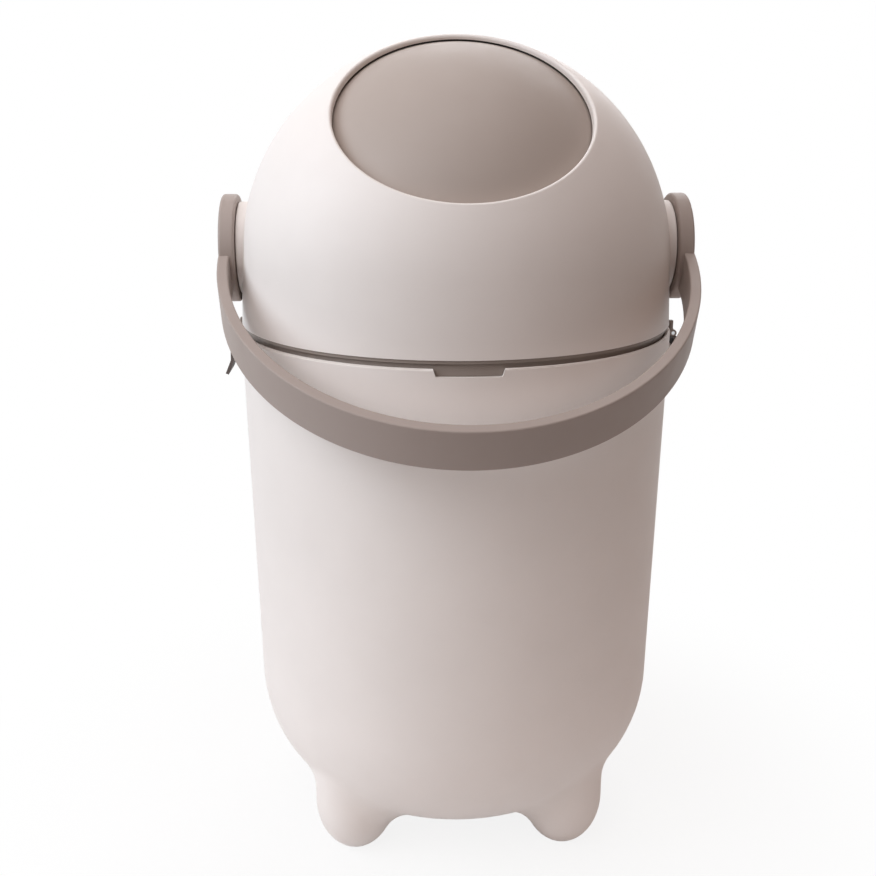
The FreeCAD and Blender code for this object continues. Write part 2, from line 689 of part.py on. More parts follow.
def square_bar(width, start, end):
    """Square bar along X on the drum's axis, turned with the handle's arms."""
    bar = block(V(start, -width / 2, -width / 2), V(end, width / 2, width / 2))
    bar.rotate(ORIGIN, X_AXIS, HANDLE_REST_DEG)
    return bar.translated(PIVOT)


def drum_axle():
    """Right stub axle: flange on the ball, round journal and square end in the hub."""
    flange = cross_rod(AXLE_FLANGE_RADIUS, PAD_FACE, AXLE_FLANGE_FACE)
    journal = cross_rod(AXLE_RADIUS, AXLE_FLANGE_FACE, HUB_BACK)
    drive = square_bar(DRIVE_WIDTH, HUB_BACK, DRIVE_END)
    hole = cross_rod(HUB_SCREW_RADIUS + PIVOT_PLAY, DRIVE_END - HUB_SCREW_BITE - SEAT_PLAY,
                     DRIVE_END + OVERRUN)
    return flange.fuse([journal, drive]).cut([hole] + axle_screw_holes())


def axle_screws():
    """Flange screws of both axles."""
    screws = []
    for place in axle_screw_places():
        seat = place + X_AXIS * AXLE_FLANGE_FACE
        tip = place + X_AXIS * (PAD_FACE - AXLE_SCREW_BITE)
        screws.append(screw(tip, seat, AXLE_SCREW_RADIUS,
                            AXLE_SCREW_HEAD_RADIUS, AXLE_SCREW_HEAD_HEIGHT))
    return Part.makeCompound(screws + [mirrored(s) for s in screws])


def band_edges(half_width, reach):
    """Half of the band's outline: arm, round front and arm, pointing towards -Y."""
    bend = V(0, -HANDLE_STRAIGHT, 0)
    right, left = V(half_width, 0, 0), V(-half_width, 0, 0)
    front = ellipse_arc(bend, right, V(0, -(reach - HANDLE_STRAIGHT), 0), 0, math.pi)
    return [line(right, right + bend), front, line(left + bend, left)]


def band():
    """Handle's band, flat and pointing to the front, before it is turned to its rest."""
    inner_half = HUB_FACE - BAND_THICK
    outer = band_edges(HUB_FACE, HANDLE_REACH)
    inner = band_edges(inner_half, HANDLE_REACH - BAND_THICK)
    ends = [line(V(x, 0, 0), V(x + BAND_THICK, 0, 0)) for x in (-HUB_FACE, inner_half)]
    outline = face(Part.__sortEdges__(outer + inner + ends))
    solid = outline.extrude(Z_AXIS * BAND_WIDTH).translated(Z_AXIS * (-BAND_WIDTH / 2))
    long_edges = [e for e in solid.Edges if e.BoundBox.ZLength < PIVOT_PLAY
                  and e.BoundBox.YLength > PIVOT_PLAY]
    return solid.makeFillet(BAND_ROUND, long_edges)


def hub():
    """Right hub disc before its sockets are cut, with its stop peg."""
    disc = cross_rod(HUB_RADIUS, HUB_BACK, HUB_FACE, ORIGIN)
    rims = [e for e in disc.Edges if e.BoundBox.XLength < PIVOT_PLAY]
    disc = disc.makeFillet(HUB_ROUND, rims)
    peg_place = forward(PEG_TURN_DEG, PEG_CIRCLE)
    return disc.fuse(cross_rod(PEG_RADIUS, HUB_BACK - PEG_LENGTH, HUB_BACK, peg_place))


def handle():
    """Band and both hubs in one moulding, turned to rest in front of the bin."""
    body = band().fuse([hub(), mirrored(hub())])
    body.rotate(ORIGIN, X_AXIS, HANDLE_REST_DEG)
    body = body.translated(PIVOT)
    socket = square_bar(DRIVE_WIDTH + SEAT_PLAY, HUB_BACK - OVERRUN, DRIVE_END + SEAT_PLAY)
    screw_hole = cross_rod(HUB_SCREW_RADIUS + SEAT_PLAY, DRIVE_END, HUB_FACE)
    head_room = cross_rod(HUB_SCREW_HEAD_RADIUS + SEAT_PLAY, WEB_FACE, HUB_FACE)
    cap_seat = cross_rod(CAP_RADIUS, CAP_BACK, HUB_FACE + OVERRUN)
    cutters = [socket, screw_hole, head_room, cap_seat]
    return body.cut(cutters + [mirrored(c) for c in cutters])


def hub_cap():
    """Round cover over the right hub's screw."""
    disc = cross_rod(CAP_RADIUS - SEAT_PLAY, CAP_BACK, HUB_FACE)
    rims = [e for e in disc.Edges if e.BoundBox.XMin > HUB_FACE - PIVOT_PLAY]
    return disc.makeFillet(CAP_THICK / 4, rims)


def hub_screws():
    """Screw through each hub into its axle."""
    seat = PIVOT + X_AXIS * WEB_FACE
    tip = PIVOT + X_AXIS * (DRIVE_END - HUB_SCREW_BITE)
    right = screw(tip, seat, HUB_SCREW_RADIUS, HUB_SCREW_HEAD_RADIUS, HUB_SCREW_HEAD_HEIGHT)
    return Part.makeCompound([right, mirrored(right)])


def ribbon(points, thickness):
    """Edges of a strip of even thickness along a bent line in the XZ plane."""
    sides = []
    for a, b in zip(points, points[1:]):
        step = b - a
        step.normalize()
        sides.append(V(step.z, 0, -step.x) * (thickness / 2))
    left, right = [], []
    for i, point in enumerate(points):
        before, after = sides[max(i - 1, 0)], sides[min(i, len(sides) - 1)]
        mitre = before + after
        mitre = mitre * (2 * before.dot(before) / mitre.dot(mitre))
        left.append(point + mitre)
        right.append(point - mitre)
    return loop(left + right[::-1])


def side_clip():
    """Right clip: hinge barrel, bent plate with a flared tip, and a nose beside the bin's catch."""
    half = CLIP_BARREL_WIDTH / 2
    barrel = rod(CLIP_EYE_RADIUS, CLIP_AXIS - Y_AXIS * half, CLIP_AXIS + Y_AXIS * half)
    shoulder = CLIP_AXIS + V(CLIP_SHOULDER_OUT, 0, -CLIP_SHOULDER_DROP)
    end = CLIP_AXIS + V(CLIP_TIP_OUT, 0, -CLIP_TIP_DROP)
    outline = face(ribbon([CLIP_AXIS, shoulder, CLIP_WAIST, end], CLIP_THICK))
    plate = outline.extrude(Y_AXIS * CLIP_WIDTH).translated(Y_AXIS * (-CLIP_WIDTH / 2))
    eye_room = CLIP_EYE_RADIUS + RUN_GAP + RUN_GAP
    for side in (-1, 1):
        reach = CLIP_AXIS + Y_AXIS * (side * CLIP_WIDTH)
        plate = plate.cut(rod(eye_room, CLIP_AXIS + Y_AXIS * (side * half), reach))
    tip = catch_face() + RUN_GAP
    nose = face(loop([V(tip, 0, NOSE_TOP), V(CLIP_WAIST.x, 0, NOSE_TOP), CLIP_WAIST,
                      V(tip, 0, NOSE_TOP - CLIP_THICK)]))
    nose = nose.extrude(Y_AXIS * CATCH_WIDTH).translated(Y_AXIS * (-CATCH_WIDTH / 2))
    bore = rod(CLIP_PIN_RADIUS + PIVOT_PLAY, CLIP_AXIS - Y_AXIS * CLIP_WIDTH, CLIP_AXIS + Y_AXIS * CLIP_WIDTH)
    return barrel.fuse([plate, nose]).cut(bore)


def clip_pin():
    """Steel pin through the right hinge eyes and the clip's barrel."""
    reach = Y_AXIS * (CLIP_BARREL_WIDTH / 2 + RUN_GAP + CLIP_EYE_WIDTH)
    return rod(CLIP_PIN_RADIUS, CLIP_AXIS - reach, CLIP_AXIS + reach)


def main():
    singles = {
        "bin_shell": bin_shell,
        "leg_base": leg_base,
        "bag_ring": bag_ring,
        "lid_dome": lid_dome,
        "lid_ring": lid_ring,
        "rim_gasket": rim_gasket,
        "window_seal": window_seal,
        "drum_wiper": drum_wiper,
        "ring_screws": ring_screws,
        "drum_cover": drum_cover,
        "drum_base": drum_base,
        "drum_cup": drum_cup,
        "axle_screws": axle_screws,
        "handle": handle,
        "hub_screws": hub_screws,
    }
    pairs = {
        "pivot_bush": pivot_bush,
        "pivot_seal": pivot_seal,
        "drum_axle": drum_axle,
        "hub_cap": hub_cap,
        "side_clip": side_clip,
        "clip_pin": clip_pin,
    }
    pieces = {name: make() for name, make in singles.items()}
    for name, make in pairs.items():
        right = make()
        pieces[name + "_right"] = right
        pieces[name + "_left"] = mirrored(right)
    os.makedirs("parts", exist_ok=True)
    for name, shape in pieces.items():
        shape.exportStep("parts/" + name + ".step")
        print(name, len(shape.Solids), "solids", round(shape.Volume), "mm3", shape.isValid())


main()
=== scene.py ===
# %% [markdown]
# This lesson dresses a nappy bin: a cream bin on four rounded legs, a dome lid with a round
# window, and a ball-shaped drum that a taupe handle flips. The solids come from the CAD model
# and are already in place, in metres, with +Z up and the window facing -Y. Blender adds the
# finishes, the small pieces that deserve more form, the light and the camera.

# %% Load the CAD model
import math

import bpy
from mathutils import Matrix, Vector


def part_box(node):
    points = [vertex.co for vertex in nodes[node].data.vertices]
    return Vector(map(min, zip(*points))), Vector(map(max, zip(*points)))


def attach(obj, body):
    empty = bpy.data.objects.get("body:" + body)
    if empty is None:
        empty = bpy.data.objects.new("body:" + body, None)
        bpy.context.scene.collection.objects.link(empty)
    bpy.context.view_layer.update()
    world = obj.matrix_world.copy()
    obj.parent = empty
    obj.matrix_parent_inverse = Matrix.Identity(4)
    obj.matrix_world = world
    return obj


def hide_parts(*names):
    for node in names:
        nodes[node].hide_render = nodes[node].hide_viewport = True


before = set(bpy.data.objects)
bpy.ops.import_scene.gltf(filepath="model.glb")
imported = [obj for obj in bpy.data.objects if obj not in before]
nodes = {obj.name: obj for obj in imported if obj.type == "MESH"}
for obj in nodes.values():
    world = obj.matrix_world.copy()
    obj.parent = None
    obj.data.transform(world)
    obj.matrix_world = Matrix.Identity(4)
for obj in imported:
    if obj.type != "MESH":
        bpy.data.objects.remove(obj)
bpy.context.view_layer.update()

bpy.ops.object.select_all(action="DESELECT")
MM = 0.001

# %% [markdown]
# The camera comes first, because every later choice is judged through it. Its place and its
# lens were found by matching the bin's rims, seams and feet to where they appear in the
# picture: it looks down on the bin by about sixteen degrees, from a little to the left.

# %% Camera
PICTURE = 876
FOCUS_PX = 1125.24
TURN_DEG = 2.39
DOWN_DEG = 16.41

bpy.ops.object.camera_add(location=(-0.0444, -0.7770, 0.5094))
camera = bpy.context.object
camera.name = "camera"
camera.rotation_euler = (math.radians(90 - DOWN_DEG), 0, math.radians(-TURN_DEG))
camera.data.sensor_width = 36
camera.data.lens = 36 * FOCUS_PX / PICTURE
camera.data.clip_start = 0.01
bpy.context.scene.camera = camera
bpy.context.scene.view_settings.view_transform = "Standard"
print("lens", round(camera.data.lens, 2), "mm")

# %% [markdown]
# Colours are written as the hex values that a screen shows. Blender's shaders work with
# linear light, so one function turns the one into the other. A second small function adds a
# node to a material, sets it and links it, which keeps each finish short enough to read.

# %% Helpers for finishes
def linear(hex_colour):
    """Linear RGBA of a screen colour such as '#ede9e6'."""
    parts = [int(hex_colour[i:i + 2], 16) / 255 for i in (1, 3, 5)]
    return [p / 12.92 if p <= 0.04045 else ((p + 0.055) / 1.055) ** 2.4 for p in parts] + [1]


def node(tree, kind, inputs, **settings):
    """Adds a node to a tree: settings are set, and each input is linked or given its value."""
    made = tree.nodes.new(kind)
    for name, value in settings.items():
        setattr(made, name, value)
    for name, value in inputs.items():
        if isinstance(value, bpy.types.NodeSocket):
            tree.links.new(value, made.inputs[name])
        else:
            made.inputs[name].default_value = value
    return made


def new_material(name):
    """An empty node material: its tree, its shader and its object coordinates."""
    material = bpy.data.materials.new(name)
    material.use_nodes = True
    shader = material.node_tree.nodes["Principled BSDF"]
    place = node(material.node_tree, "ShaderNodeTexCoord", {}).outputs["Object"]
    return material, material.node_tree, shader, place


def dress(material, *names):
    """Gives a finish to CAD nodes."""
    for name in names:
        nodes[name].material_slots[0].material = material
    print(material.name, "on", ", ".join(names))


# %% [markdown]
# Most of the bin is moulded plastic. A moulding takes the surface of its steel tool: a fine
# spark-eroded grain that breaks up reflections, a faint cloudiness where the melt flowed, and
# patches that hands have polished a little. All of them share one recipe, so one function
# builds it from the colour, the gloss and the size of the grain. The real grain is about
# 0.1 mm across, too fine to draw from this distance, so it is drawn coarser.

# %% Moulded plastic
FLOW_MM = 55
POLISH_MM = 18
POLISH_SPREAD = 0.05


def moulded(name, colour, gloss_break, grain_mm, relief_mm, cloud=0.03, ior=1.53):
    """Moulded plastic: cloudy colour, uneven polish and a fine tool grain."""
    material, tree, shader, place = new_material(name)
    flow = node(tree, "ShaderNodeTexNoise",
                {"Vector": place, "Scale": 1 / (FLOW_MM * MM), "Detail": 3, "Roughness": 0.55})
    tint = node(tree, "ShaderNodeMapRange",
                {"Value": flow.outputs["Fac"], "From Min": 0.3, "From Max": 0.7,
                 "To Min": 1 - cloud, "To Max": 1})
    base = node(tree, "ShaderNodeMix",
                {"Factor": tint.outputs["Result"], 6: (0, 0, 0, 1), 7: linear(colour)},
                data_type="RGBA")
    tree.links.new(base.outputs[2], shader.inputs["Base Color"])
    polish = node(tree, "ShaderNodeTexNoise",
                  {"Vector": place, "Scale": 1 / (POLISH_MM * MM), "Detail": 4, "Roughness": 0.6})
    rough = node(tree, "ShaderNodeMapRange",
                 {"Value": polish.outputs["Fac"], "From Min": 0.3, "From Max": 0.7,
                  "To Min": gloss_break - POLISH_SPREAD, "To Max": gloss_break + POLISH_SPREAD})
    tree.links.new(rough.outputs["Result"], shader.inputs["Roughness"])
    grain = node(tree, "ShaderNodeTexNoise",
                 {"Vector": place, "Scale": 1 / (grain_mm * MM), "Detail": 2, "Roughness": 0.5})
    relief = node(tree, "ShaderNodeBump",
                  {"Height": grain.outputs["Fac"], "Strength": 1, "Distance": relief_mm * MM})
    tree.links.new(relief.outputs["Normal"], shader.inputs["Normal"])
    shader.inputs["IOR"].default_value = ior
    return material


# %% [markdown]
# The bin, its leg base and the dome are one cream plastic: a warm white with a soft, broad
# sheen. The grain is shallow here, so that the large round forms keep their smooth shading and
# the rounded rim of the window keeps its bright line.

# %% Cream plastic
cream = moulded("cream_ABS_spark_grained", "#eee9e5", 0.55, 1.1, 0.010, ior=1.5)
dress(cream, "bin_shell", "leg_base", "lid_dome")

# %% [markdown]
# The drum is taupe. Polypropylene is a little waxy, so it shows a flatter sheen than the cream.
# The handle is the same plastic, given a shade deeper as painted shade for its front face. The
# ring under the dome is a darker taupe as painted shade for the shaded seam, and the clips are
# darker still and nearly matt, as painted shade.

# %% Taupe plastics
taupe = moulded("taupe_PP_satin_moulded", "#aca098", 0.55, 1.0, 0.010, ior=1.49)
dress(taupe, "drum_cover", "drum_base")
# The ring's darker taupe is painted shade: the seam that it sits in lies in shadow.
seam_ring_painted_shade = moulded("taupe_PP_ring_painted_shade", "#948a83", 0.55, 1.0, 0.010, ior=1.49)
dress(seam_ring_painted_shade, "lid_ring")
# The handle's deeper taupe is painted shade for its front face, which faces down and away from the
# lamps.
handle_taupe_painted_shade = moulded("taupe_PP_handle_painted_shade", "#a2958e", 0.55, 1.0, 0.010, ior=1.49)
dress(handle_taupe_painted_shade, "handle", "hub_cap_right", "hub_cap_left")
# The clips' dark taupe is painted shade: they sit in the shadow under the dome's edge.
clip_taupe_painted_shade = moulded("taupe_PP_clips_painted_shade", "#5a514d", 0.55, 1.0, 0.012, ior=1.49)
dress(clip_taupe_painted_shade, "side_clip_right", "side_clip_left")

# %% [markdown]
# Inside are two plastics that are seen only when the lid is off. The cup, the bag ring and the
# axles have a coarser matt grain that hides scratches. The bushes are acetal, which is slippery
# without oil and shows as a milky white with a waxy gloss.

# %% Inner plastics
warm_grey = moulded("warm_grey_PP_matt_moulded", "#c6c0ba", 0.60, 1.4, 0.020)
dress(warm_grey, "bag_ring", "drum_cup", "drum_axle_right", "drum_axle_left")
acetal = moulded("natural_acetal_turned", "#eeece6", 0.30, 0.8, 0.006, ior=1.48)
dress(acetal, "pivot_bush_right", "pivot_bush_left")

# %% [markdown]
# The screws and the clips' pins are steel with a thin zinc plating. Plating is a metal, so the
# shader's Metallic is set to one, and the same recipe gives it the uneven, slightly dull polish
# of cold-headed parts.

# %% Plated steel
steel = moulded("zinc_plated_steel_cold_headed", "#c9ccce", 0.32, 0.8, 0.004, cloud=0.08, ior=1.5)
steel.node_tree.nodes["Principled BSDF"].inputs["Metallic"].default_value = 1
dress(steel, "clip_pin_right", "clip_pin_left")

# %% [markdown]
# The seals are soft. The rubber ones are a thermoplastic rubber, nearly black and dull. The
# washers on the axles are pressed wool felt: a fuzzy, mottled grey with no gloss at all, for
# which the shader's sheen adds the pale fringe of loose fibres.

# %% Soft materials
rubber = moulded("black_TPE_moulded_seal", "#33302e", 0.62, 0.9, 0.015, ior=1.5)
felt = moulded("grey_wool_felt_die_cut", "#6b6661", 0.90, 0.7, 0.18, cloud=0.25, ior=1.5)
felt.node_tree.nodes["Principled BSDF"].inputs["Sheen Weight"].default_value = 0.35
felt.node_tree.nodes["Principled BSDF"].inputs["Sheen Roughness"].default_value = 0.6
print("soft", rubber.name, felt.name)

# %% [markdown]
# Every seal is a ring, and a ring is made as on a lathe. One vertex is extruded along the
# outline of its section, the outline is closed, and Spin turns it round the ring's axis. The
# last copy lies on the first one, so doubles are merged before the normals are set right. A
# small Bevel then softens the corners, as rubber and felt have no sharp ones.

# %% Helper for rings
def lathe(name, outline, centre, axis, steps, closed=True):
    """A turned piece: an outline in one plane, spun round an axis through a centre."""
    bpy.ops.object.select_all(action="DESELECT")
    bpy.ops.mesh.primitive_plane_add(size=MM)
    piece = bpy.context.object
    piece.name = name
    bpy.ops.object.mode_set(mode="EDIT")
    bpy.ops.mesh.select_mode(type="VERT")
    bpy.ops.mesh.select_all(action="SELECT")
    bpy.ops.mesh.merge(type="CENTER")
    bpy.ops.transform.translate(value=outline[0])
    for here, there in zip(outline, outline[1:]):
        bpy.ops.mesh.extrude_region_move(TRANSFORM_OT_translate={"value": there - here})
    if closed:
        bpy.ops.object.mode_set(mode="OBJECT")
        piece.data.vertices[0].select = True
        bpy.ops.object.mode_set(mode="EDIT")
        bpy.ops.mesh.edge_face_add()
    bpy.ops.mesh.select_all(action="SELECT")
    bpy.ops.mesh.spin(steps=steps, angle=2 * math.pi, center=centre, axis=axis)
    bpy.ops.mesh.select_all(action="SELECT")
    bpy.ops.mesh.remove_doubles(threshold=0.005 * MM)
    bpy.ops.mesh.normals_make_consistent(inside=False)
    bpy.ops.object.mode_set(mode="OBJECT")
    return piece


def soften(piece, width_mm, segments=2):
    """Rounds the corners of a piece and shades it smooth."""
    bevel = piece.modifiers.new("soft_corners", "BEVEL")
    bevel.width = width_mm * MM
    bevel.segments = segments
    bevel.limit_method = "ANGLE"
    bevel.angle_limit = math.radians(35)
    bpy.context.view_layer.objects.active = piece
    bpy.ops.object.modifier_apply(modifier=bevel.name)
    bpy.ops.object.select_all(action="DESELECT")
    piece.select_set(True)
    bpy.ops.object.shade_smooth_by_angle(angle=math.radians(50))


def stand_in(piece, material, slot, body, *replaced):
    """Gives a modelled piece its finish and its body, in place of CAD nodes."""
    piece.data.materials.clear()
    piece.data.materials.append(material)
    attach(piece, body)
    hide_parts(*replaced)
    spots = [vertex.co for vertex in piece.data.vertices]
    print(piece.name, len(piece.data.polygons), "faces on", body)
    for name in replaced:
        low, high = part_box(name)
        for axis in range(3):
            place = [spot[axis] / MM for spot in spots]
            print("  ", "xyz"[axis], round(min(place), 2), round(max(place), 2),
                  "in CAD", round(low[axis] / MM, 2), round(high[axis] / MM, 2))


def side_view(*corners_mm):
    """Corners of an outline in the XZ plane, from pairs of millimetres."""
    return [Vector((x * MM, 0, z * MM)) for x, z in corners_mm]


# %% [markdown]
# The gasket sits in a groove round the lid's spigot and closes the gap to the bin. Its back is
# flat where it lies in the groove, and its front carries two small lips with a hollow between
# them, so that it seals even if one lip is lifted by a crumb.

# %% Rim gasket
Z_AXIS = (0, 0, 1)
gasket = lathe("rim_gasket_two_lip", side_view(
    (142.4, 354.75), (143.4, 354.75), (144.1, 355.05), (144.1, 355.4), (143.55, 355.9),
    (143.55, 356.5), (144.1, 357.0), (144.1, 357.35), (143.4, 357.65), (142.4, 357.65)),
    (0, 0, 0), Z_AXIS, 120)
soften(gasket, 0.12)
stand_in(gasket, rubber, "seal_rubber", "lid", "rim_gasket")

# %% [markdown]
# The wiper hangs in the bore of the lid's ring and strokes the drum as it turns. A flange lies
# on the ring, a short wall fills the bore, and the lip thins out towards the drum so that it
# can give way. It stands a hair off the drum here, because a rigid model can't be pressed on.

# %% Drum wiper
wiper = lathe("drum_wiper_lip", side_view(
    (127.0, 367.25), (127.0, 369.4), (130.2, 369.4), (130.2, 370.7), (129.6, 371.15),
    (126.6, 371.15), (125.55, 371.0), (125.0, 369.6), (124.2, 367.6), (124.15, 367.25),
    (125.4, 367.25)), (0, 0, 0), Z_AXIS, 120)
soften(wiper, 0.15)
stand_in(wiper, rubber, "seal_rubber", "lid", "drum_wiper")

# %% [markdown]
# A felt washer on each axle keeps dust out of the bush. It is die cut from sheet, so its faces
# are flat and its rims a little ragged and rounded. One is modelled on the right and a copy is
# mirrored to the left; a mirror turns faces inside out, so their normals are set right again.

# %% Felt washers
PIVOT = Vector((0, 0, 0.417))
X_AXIS = (1, 0, 0)


def washer(name):
    """The right-hand felt washer, round the drum's axle."""
    made = lathe(name, [PIVOT + spot for spot in side_view(
        (130.05, 11.05), (132.95, 11.05), (132.95, 15.1), (132.6, 15.85), (131.5, 16.0),
        (130.4, 15.85), (130.05, 15.1))], PIVOT, X_AXIS, 64)
    soften(made, 0.3)
    return made


right_washer = washer("felt_washer_right")
stand_in(right_washer, felt, "seal_felt", "drum", "pivot_seal_right")
left_washer = washer("felt_washer_left")
bpy.ops.object.mode_set(mode="EDIT")
bpy.ops.mesh.select_all(action="SELECT")
bpy.ops.transform.mirror(constraint_axis=(True, False, False), center_override=(0, 0, 0))
bpy.ops.mesh.normals_make_consistent(inside=False)
bpy.ops.object.mode_set(mode="OBJECT")
stand_in(left_washer, felt, "seal_felt", "drum", "pivot_seal_left")

# %% [markdown]
# The window's seal lies under the lip on a part of a sphere, which no simple spin gives. Here
# the CAD solid has the right path already, so a copy of its mesh is the start: its loose
# triangles are merged, flat neighbours are joined again by Limited Dissolve, and a Bevel makes
# the corners round.

# %% Window seal
window_seal = bpy.data.objects.new("window_seal_ring", nodes["window_seal"].data.copy())
bpy.context.collection.objects.link(window_seal)
bpy.ops.object.select_all(action="DESELECT")
window_seal.select_set(True)
bpy.context.view_layer.objects.active = window_seal
bpy.ops.object.mode_set(mode="EDIT")
bpy.ops.mesh.select_all(action="SELECT")
bpy.ops.mesh.remove_doubles(threshold=0.005 * MM)
bpy.ops.mesh.dissolve_limited(angle_limit=math.radians(1))
bpy.ops.object.mode_set(mode="OBJECT")
soften(window_seal, 0.2)
stand_in(window_seal, rubber, "seal_rubber", "lid", "window_seal")

# %% [markdown]
# All screws are alike: a pan head with a cross recess and a coarse thread that cuts into
# plastic. The head and the core are turned on the same lathe, from the top of the head down to
# the point. The thread is a small triangle that a Screw modifier winds round the core. The
# recess is a cross of two bars, taken out of the head by a Boolean.

# %% Helper for screws
def screw(name, head_radius, head_height, radius, length):
    """A pan-head screw on the Z axis, its head standing up from the origin."""
    core = 0.72 * radius
    made = lathe(name, side_view(
        (0, head_height), (0.62 * head_radius, 0.97 * head_height),
        (0.88 * head_radius, 0.78 * head_height), (head_radius, 0.42 * head_height),
        (head_radius, 0), (core, 0), (core, -length + radius), (0, -length)),
        (0, 0, 0), Z_AXIS, 24, closed=False)
    pitch = 0.8 * radius
    turns = int((length - 2 * radius) / pitch)
    start = ((core + 0.1 * pitch) * MM, 0, (-length + radius) * MM)
    bpy.ops.mesh.primitive_circle_add(vertices=3, radius=0.45 * pitch * MM, fill_type="NOTHING",
                                      location=start, rotation=(math.pi / 2, 0, 0))
    bpy.ops.object.transform_apply(location=True, rotation=True)
    thread = bpy.context.object
    wind = thread.modifiers.new("thread", "SCREW")
    wind.steps = wind.render_steps = 14
    wind.iterations = turns
    wind.screw_offset = pitch * MM
    bpy.ops.object.modifier_apply(modifier=wind.name)
    bpy.ops.object.mode_set(mode="EDIT")
    bpy.ops.mesh.select_all(action="SELECT")
    bpy.ops.mesh.fill_holes(sides=3)
    bpy.ops.mesh.normals_make_consistent(inside=False)
    bpy.ops.object.mode_set(mode="OBJECT")
    bars = []
    for turn in (0, math.pi / 2):
        bpy.ops.mesh.primitive_cube_add(size=MM, location=(0, 0, head_height * MM),
                                        rotation=(0, 0, turn))
        bar = bpy.context.object
        bar.scale = (1.15 * head_radius, 0.26 * head_radius, 1.2 * head_height)
        bpy.ops.object.transform_apply(location=True, rotation=True, scale=True)
        bars.append(bar)
    for bar in bars:
        recess = made.modifiers.new("recess", "BOOLEAN")
        recess.operation = "DIFFERENCE"
        recess.solver = "EXACT"
        recess.object = bar
        bpy.context.view_layer.objects.active = made
        bpy.ops.object.modifier_apply(modifier=recess.name)
        bpy.data.objects.remove(bar)
    bpy.ops.object.select_all(action="DESELECT")
    made.select_set(True)
    thread.select_set(True)
    bpy.context.view_layer.objects.active = made
    bpy.ops.object.join()
    bpy.ops.object.shade_smooth_by_angle(angle=math.radians(35))
    return made


def drive(pattern, name, seats):
    """Copies of a screw as one piece: each seat is a place and where the head points."""
    copies = []
    for place, out in seats:
        bpy.ops.object.select_all(action="DESELECT")
        pattern.select_set(True)
        bpy.context.view_layer.objects.active = pattern
        bpy.ops.object.duplicate()
        copy = bpy.context.object
        copy.rotation_euler = Vector(out).to_track_quat("Z", "Y").to_euler()
        copy.location = place
        bpy.ops.object.transform_apply(location=True, rotation=True)
        copies.append(copy)
    bpy.data.objects.remove(pattern)
    for copy in copies:
        copy.select_set(True)
    bpy.context.view_layer.objects.active = copies[0]
    bpy.ops.object.join()
    copies[0].name = name
    return copies[0]


# %% [markdown]
# Six screws go up through the lid's ring into the dome, four on each side hold an axle's flange
# to the drum, and one holds each end of the handle. They show when the lid is lifted or a cap
# comes off.

# %% Screws
RING_SCREW_CIRCLE = 136.2
AXLE_SCREW_CIRCLE = 21.5

ring_seats = []
for turn in range(30, 390, 60):
    around = math.radians(turn)
    place = Vector((RING_SCREW_CIRCLE * math.cos(around),
                    RING_SCREW_CIRCLE * math.sin(around), 367.2))
    ring_seats.append((place * MM, (0, 0, -1)))
ring_screws = drive(screw("ring_screw", 3.1, 2.0, 1.5, 14.0), "ring_screws_pan_head", ring_seats)
stand_in(ring_screws, steel, "steel", "lid", "ring_screws")

axle_seats = []
for side in (-1, 1):
    for turn in range(45, 405, 90):
        around = math.radians(turn)
        place = Vector((side * 130.007, AXLE_SCREW_CIRCLE * math.cos(around),
                        AXLE_SCREW_CIRCLE * math.sin(around)))
        axle_seats.append((PIVOT + place * MM, (side, 0, 0)))
axle_screws = drive(screw("axle_screw", 3.0, 1.8, 1.5, 9.0), "axle_screws_pan_head", axle_seats)
stand_in(axle_screws, steel, "steel", "drum", "axle_screws")

hub_seats = [(PIVOT + Vector((side * 153.673, 0, 0)) * MM, (side, 0, 0)) for side in (-1, 1)]
hub_screws = drive(screw("hub_screw", 4.5, 1.3, 2.0, 14.1), "hub_screws_pan_head", hub_seats)
stand_in(hub_screws, steel, "steel", "drum", "hub_screws")

# %% [markdown]
# The bin stands on a round white card. To the camera the card and the studio behind it are
# plain white, which the Light Path node gives without shining more light on the bin. Rays that
# bounce see the card as it is, so it still throws light up under the belly and the legs, and
# it still keeps a faint shadow.

# %% Floor card
CARD_RADIUS = 0.75

bpy.ops.mesh.primitive_circle_add(vertices=96, radius=CARD_RADIUS, fill_type="NGON")
card = bpy.context.object
card.name = "floor_card"
bpy.ops.object.mode_set(mode="EDIT")
bpy.ops.mesh.select_all(action="SELECT")
bpy.ops.transform.translate(value=(0, 0, -0.3 * MM))
bpy.ops.mesh.inset(thickness=0.05)
bpy.ops.object.mode_set(mode="OBJECT")

paper, tree, shader, place = new_material("white_paper_card")
fibre = node(tree, "ShaderNodeTexNoise", {"Vector": place, "Scale": 1 / (4 * MM), "Detail": 3})
pale = node(tree, "ShaderNodeMapRange",
            {"Value": fibre.outputs["Fac"], "To Min": 0.86, "To Max": 0.90})
tree.links.new(pale.outputs["Result"], shader.inputs["Base Color"])
shader.inputs["Roughness"].default_value = 0.9
shader.inputs["IOR"].default_value = 1.3
# Near the bin a share of the look is the lit paper with its shadow; by the card's edge none is.
away = node(tree, "ShaderNodeVectorMath", {0: place}, operation="LENGTH")
fade = node(tree, "ShaderNodeMapRange",
            {"Value": away.outputs["Value"], "From Min": 0.14, "From Max": 0.42,
             "To Min": 0.86, "To Max": 1.0}, interpolation_type="SMOOTHSTEP")
rays = node(tree, "ShaderNodeLightPath", {})
seen = node(tree, "ShaderNodeMath",
            {0: rays.outputs["Is Camera Ray"], 1: fade.outputs["Result"]}, operation="MULTIPLY")
white = node(tree, "ShaderNodeEmission", {"Color": (1, 1, 1, 1), "Strength": 1})
look = node(tree, "ShaderNodeMixShader",
            {"Fac": seen.outputs[0], 1: shader.outputs[0], 2: white.outputs[0]})
tree.links.new(look.outputs[0], tree.nodes["Material Output"].inputs["Surface"])
card.data.materials.append(paper)
print("card", CARD_RADIUS, "m")

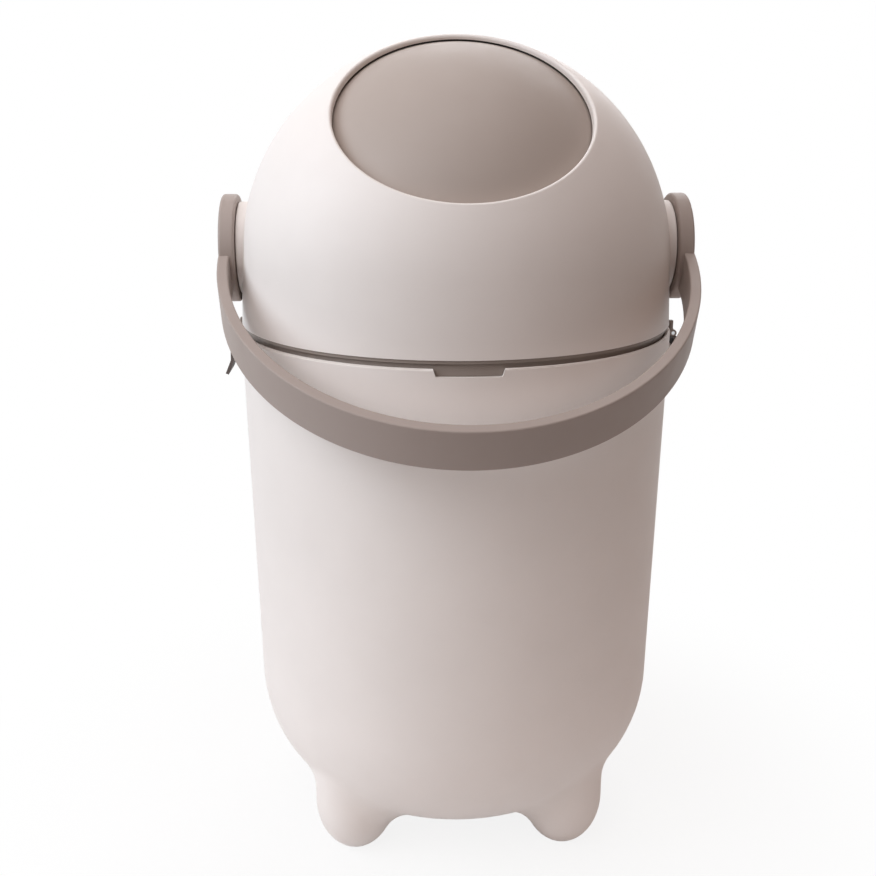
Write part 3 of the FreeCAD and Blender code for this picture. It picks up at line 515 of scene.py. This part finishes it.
# %% [markdown]
# The studio round the bin is the world. The camera and every reflection see it white. For the
# light that it sheds on the bin it is a weak warm glow from above the horizon only, like a
# pale room, which keeps the side away from the lamp from going black.

# %% Studio world
GLOW = (0.30, 0.206, 0.167)

world = bpy.data.worlds.new("studio")
bpy.context.scene.world = world
world.use_nodes = True
tree = world.node_tree
toward = node(tree, "ShaderNodeSeparateXYZ",
              {"Vector": node(tree, "ShaderNodeTexCoord", {}).outputs["Generated"]})
above = node(tree, "ShaderNodeMapRange",
             {"Value": toward.outputs["Z"], "From Min": -0.1, "From Max": 0.1})
glow = tree.nodes["Background"]
glow.inputs["Color"].default_value = GLOW + (1,)
tree.links.new(above.outputs["Result"], glow.inputs["Strength"])
backdrop = node(tree, "ShaderNodeBackground", {"Color": (1, 1, 1, 1), "Strength": 1})
rays = node(tree, "ShaderNodeLightPath", {})
seen = node(tree, "ShaderNodeMath",
            {0: rays.outputs["Is Camera Ray"], 1: rays.outputs["Is Glossy Ray"]},
            operation="MAXIMUM")
seen = node(tree, "ShaderNodeMath",
            {0: seen.outputs[0], 1: rays.outputs["Is Transmission Ray"]}, operation="MAXIMUM")
sky = node(tree, "ShaderNodeMixShader",
           {"Fac": seen.outputs[0], 1: glow.outputs[0], 2: backdrop.outputs[0]})
tree.links.new(sky.outputs[0], tree.nodes["World Output"].inputs["Surface"])
print("glow", GLOW)

# %% [markdown]
# A large soft lamp on the left does most of the work: it leaves the left side almost white and
# lets the right side fall into a warm shade. A second one, in front on the left, carries the
# light round the middle. One overhead lifts the drum's face and the top of the handle, and one
# behind keeps the back from going dull. Large lamps give shadows with soft edges.

# %% Lamps
def lamp(name, around_deg, up_deg, distance, size, power, colour):
    """A square lamp that faces the bin; around is counted from the front to the right."""
    around, up = math.radians(around_deg), math.radians(up_deg)
    away = Vector((math.sin(around) * math.cos(up), -math.cos(around) * math.cos(up), math.sin(up)))
    bpy.ops.object.light_add(type="AREA", location=Vector((0, 0, 0.28)) + away * distance)
    made = bpy.context.object
    made.name = name
    made.rotation_euler = away.to_track_quat("Z", "Y").to_euler()
    made.data.size = size
    made.data.energy = power
    made.data.color = colour
    print("lamp", name, power, "W")


lamp("key_lamp", -80, 26, 1.8, 1.2, 17.3, (0.80, 0.91, 1.0))
lamp("front_left_lamp", -40, 40, 1.8, 1.2, 11.0, (0.97, 0.97, 1.0))
lamp("top_lamp", 0, 88, 1.8, 1.2, 8.0, (0.95, 0.97, 1.0))
lamp("back_lamp", 165, 35, 1.8, 1.2, 10.0, (0.95, 0.97, 1.0))
